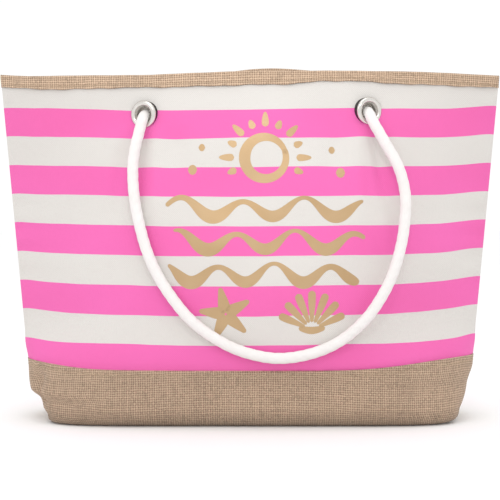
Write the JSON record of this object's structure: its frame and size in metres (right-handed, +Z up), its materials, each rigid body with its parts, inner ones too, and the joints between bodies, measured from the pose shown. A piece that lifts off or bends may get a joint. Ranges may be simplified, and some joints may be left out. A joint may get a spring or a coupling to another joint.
{
  "type": "beach bag",
  "caption": "Open-top striped canvas tote with jute base band and rim, metal eyelets, and a swinging cotton rope handle on each side.",
  "frame": {"origin": "middle of the base, on the surface that the bag stands on", "axes": "+X along the rim to the right as seen from the front, +Y from the front wall to the back wall, +Z up"},
  "size_m": [0.5602, 0.1968, 0.386],
  "materials": {
    "canvas": "pink and white striped cotton canvas",
    "jute": "natural jute burlap, plain weave",
    "lining": "undyed cotton",
    "tape": "cotton twill tape",
    "board": "grey fibreboard",
    "nickel": "nickel-plated, polished",
    "rope": "soft twisted cotton"
  },
  "bodies": {
    "bag": {"front_canvas": "canvas", "back_canvas": "canvas", "front_jute_base": "jute", "back_jute_base": "jute", "front_rim_binding": "jute", "back_rim_binding": "jute", "front_lining": "lining", "back_lining": "lining", "inner_pocket": "lining", "left_seam_tape": "tape", "right_seam_tape": "tape", "base_board": "board", "front_left_eyelet": "nickel", "front_right_eyelet": "nickel", "back_left_eyelet": "nickel", "back_right_eyelet": "nickel", "front_left_eyelet_washer": "nickel", "front_right_eyelet_washer": "nickel", "back_left_eyelet_washer": "nickel", "back_right_eyelet_washer": "nickel", "front_left_rope_knot": "rope", "front_right_rope_knot": "rope", "back_left_rope_knot": "rope", "back_right_rope_knot": "rope"},
    "front_handle": {"front_rope_handle": "rope"},
    "back_handle": {"back_rope_handle": "rope"}
  },
  "joints": [
    {"name": "front_handle_swing", "type": "hinge", "parent": "bag", "child": "front_handle", "pos_m": [0.007, -0.04942, 0.339], "axis": [-1, 0, 0], "range_deg": [0, 175]},
    {"name": "back_handle_swing", "type": "hinge", "parent": "bag", "child": "back_handle", "pos_m": [0.007, 0.04942, 0.339], "axis": [1, 0, 0], "range_deg": [0, 175]}
  ]
}
